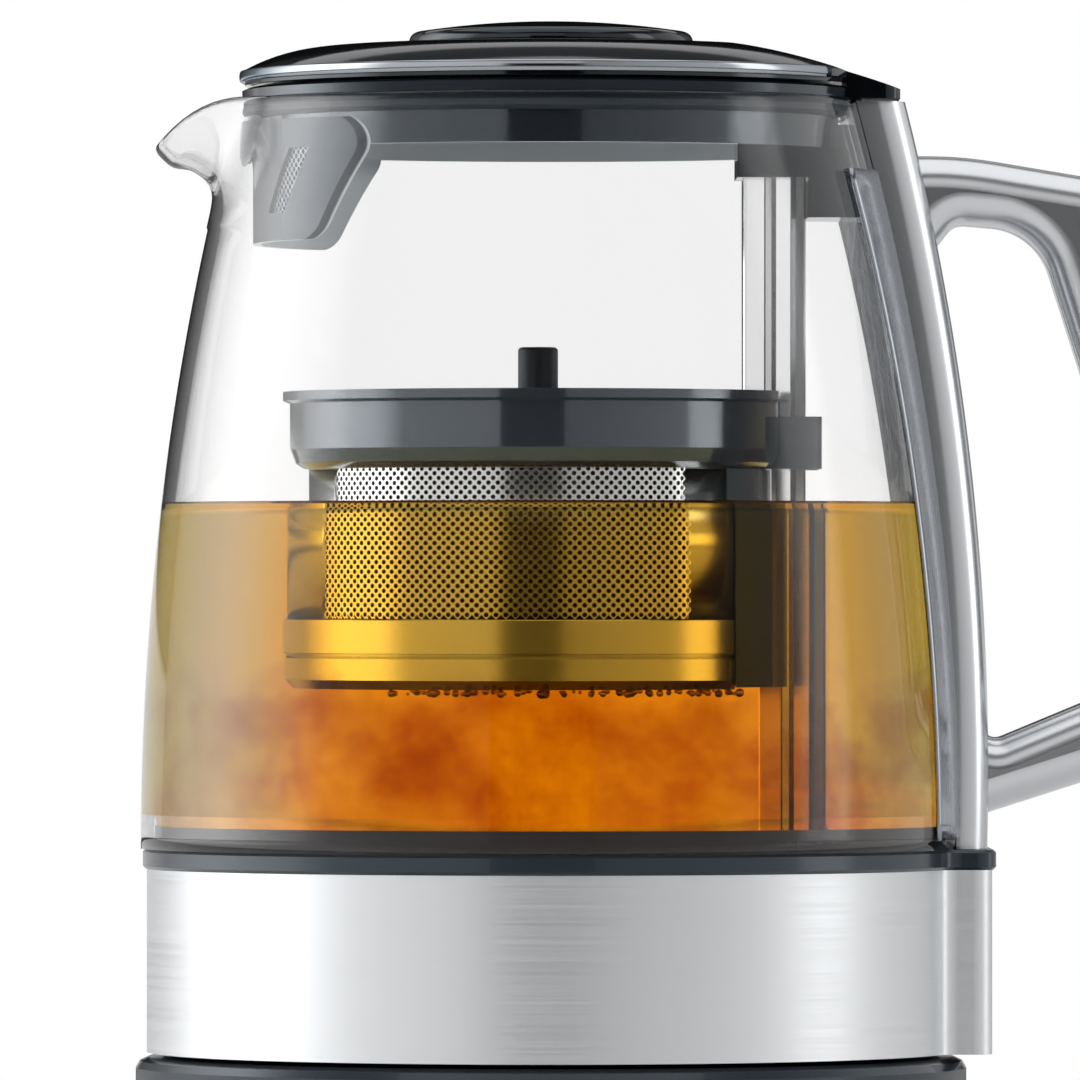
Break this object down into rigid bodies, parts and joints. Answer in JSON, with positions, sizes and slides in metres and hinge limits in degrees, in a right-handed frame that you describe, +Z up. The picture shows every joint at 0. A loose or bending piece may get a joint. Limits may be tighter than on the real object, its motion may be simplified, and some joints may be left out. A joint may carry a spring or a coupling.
{
  "type": "automatic tea maker",
  "caption": "Glass tea kettle with a motor-driven infuser basket on a lift post, pull-off lid, metal handle and a round power base with display and push buttons.",
  "frame": {"origin": "on the jug's vertical axis, on the resting plane (underside of the foot ring)", "axes": "+Z up, +X towards the handle, -X towards the spout, -Y towards the control panel"},
  "size_m": [0.2201, 0.1704, 0.2632],
  "materials": {
    "clear_glass": "clear, polished",
    "brushed_steel_wrap": "fine horizontal brushing",
    "stainless_sheet": "satin",
    "polished_metal": "polished to satin",
    "dark_collar_plastic": "satin",
    "dark_gloss_plastic": "gloss",
    "grey_plastic": "satin",
    "black_plastic": "satin",
    "silicone": "matte",
    "foot_rubber": "matte",
    "smoked_window": "gloss",
    "display_grey": "matte",
    "circuit_board": "matte",
    "switch_black": "matte",
    "plated_steel": "zinc plated",
    "magnet_nickel": "nickel plated",
    "carriage_plastic": "matte",
    "satin_button": "satin"
  },
  "bodies": {
    "base": {"base_shell": "brushed_steel_wrap", "base_foot_ring": "foot_rubber", "base_underside": "black_plastic", "base_top_cover": "dark_collar_plastic", "base_screws": "plated_steel", "base_connector": "black_plastic", "cord_inlet": "black_plastic", "power_board": "circuit_board", "control_board": "circuit_board", "console_panel": "dark_gloss_plastic", "lcd_window": "smoked_window", "lcd_module": "display_grey", "button_switches": "switch_black", "switch_carrier": "circuit_board"},
    "jug": {"glass_jug": "clear_glass", "glass_seal": "silicone", "collar_ring": "dark_collar_plastic", "jug_steel_band": "brushed_steel_wrap", "jug_underside": "black_plastic", "heater_plate": "stainless_sheet", "heating_element": "plated_steel", "temperature_sensor": "plated_steel", "jug_connector": "black_plastic", "post_tube": "stainless_sheet", "post_cap": "grey_plastic", "lift_motor": "plated_steel", "spine_strap": "polished_metal", "handle": "polished_metal", "handle_screws": "plated_steel"},
    "lid": {"lid_dome": "dark_gloss_plastic", "lid_grip": "dark_gloss_plastic", "lid_skirt": "grey_plastic", "lid_seal": "silicone", "lid_screws": "plated_steel", "spout_filter": "grey_plastic", "filter_mesh": "stainless_sheet"},
    "basket": {"basket_rim": "grey_plastic", "basket_sleeve": "stainless_sheet", "basket_base": "stainless_sheet", "basket_floor": "stainless_sheet", "basket_clip": "grey_plastic", "basket_magnet": "magnet_nickel"},
    "basket_cover": {"basket_lid": "grey_plastic", "basket_lid_knob": "black_plastic"},
    "carriage": {"magnet_carriage": "carriage_plastic"},
    "screw": {"lead_screw": "plated_steel"},
    "start_button_body": {"start_button": "satin_button"},
    "menu_button_body": {"menu_button": "satin_button"},
    "type_button_body": {"type_button": "satin_button"},
    "strength_button_body": {"strength_button": "satin_button"},
    "temp_button_body": {"temp_button": "satin_button"},
    "time_button_body": {"time_button": "satin_button"},
    "warm_button_body": {"warm_button": "satin_button"},
    "power_button_body": {"power_button": "satin_button"}
  },
  "joints": [
    {"name": "jug_lift", "type": "slide", "parent": "base", "child": "jug", "axis": [0, 0, 1], "range_m": [0, 0.06]},
    {"name": "lid_lift", "type": "slide", "parent": "jug", "child": "lid", "axis": [0, 0, 1], "range_m": [0, 0.06]},
    {"name": "basket_lift", "type": "slide", "parent": "jug", "child": "basket", "axis": [0, 0, 1], "range_m": [-0.024, 0.039]},
    {"name": "basket_cover_lift", "type": "slide", "parent": "basket", "child": "basket_cover", "axis": [0, 0, 1], "range_m": [0, 0.03]},
    {"name": "carriage_slide", "type": "slide", "parent": "jug", "child": "carriage", "axis": [0, 0, 1], "range_m": [-0.024, 0.039]},
    {"name": "screw_spin", "type": "hinge", "parent": "jug", "child": "screw", "pos_m": [0.0445, 0, 0.16], "axis": [0, 0, 1], "range_deg": [-2160, 3510]},
    {"name": "start_press", "type": "slide", "parent": "base", "child": "start_button_body", "axis": [0.5878, 0.809, 0], "range_m": [0, 0.001], "stiffness_N_per_m": 400, "springref_m": -0.0008},
    {"name": "menu_press", "type": "slide", "parent": "base", "child": "menu_button_body", "axis": [-0.5878, 0.809, 0], "range_m": [0, 0.001], "stiffness_N_per_m": 400, "springref_m": -0.0008},
    {"name": "type_press", "type": "slide", "parent": "base", "child": "type_button_body", "axis": [0.6088, 0.7934, 0], "range_m": [0, 0.001], "stiffness_N_per_m": 400, "springref_m": -0.0008},
    {"name": "strength_press", "type": "slide", "parent": "base", "child": "strength_button_body", "axis": [0.3827, 0.9239, 0], "range_m": [0, 0.001], "stiffness_N_per_m": 400, "springref_m": -0.0008},
    {"name": "temp_press", "type": "slide", "parent": "base", "child": "temp_button_body", "axis": [0.1305, 0.9914, 0], "range_m": [0, 0.001], "stiffness_N_per_m": 400, "springref_m": -0.0008},
    {"name": "time_press", "type": "slide", "parent": "base", "child": "time_button_body", "axis": [-0.1305, 0.9914, 0], "range_m": [0, 0.001], "stiffness_N_per_m": 400, "springref_m": -0.0008},
    {"name": "warm_press", "type": "slide", "parent": "base", "child": "warm_button_body", "axis": [-0.3827, 0.9239, 0], "range_m": [0, 0.001], "stiffness_N_per_m": 400, "springref_m": -0.0008},
    {"name": "power_press", "type": "slide", "parent": "base", "child": "power_button_body", "axis": [-0.6088, 0.7934, 0], "range_m": [0, 0.001], "stiffness_N_per_m": 400, "springref_m": -0.0008}
  ],
  "couplings": [
    {"joint": "carriage_slide", "follows": "basket_lift", "ratio": 1},
    {"joint": "screw_spin", "follows": "basket_lift", "rad_per_m": 1570.8}
  ]
}
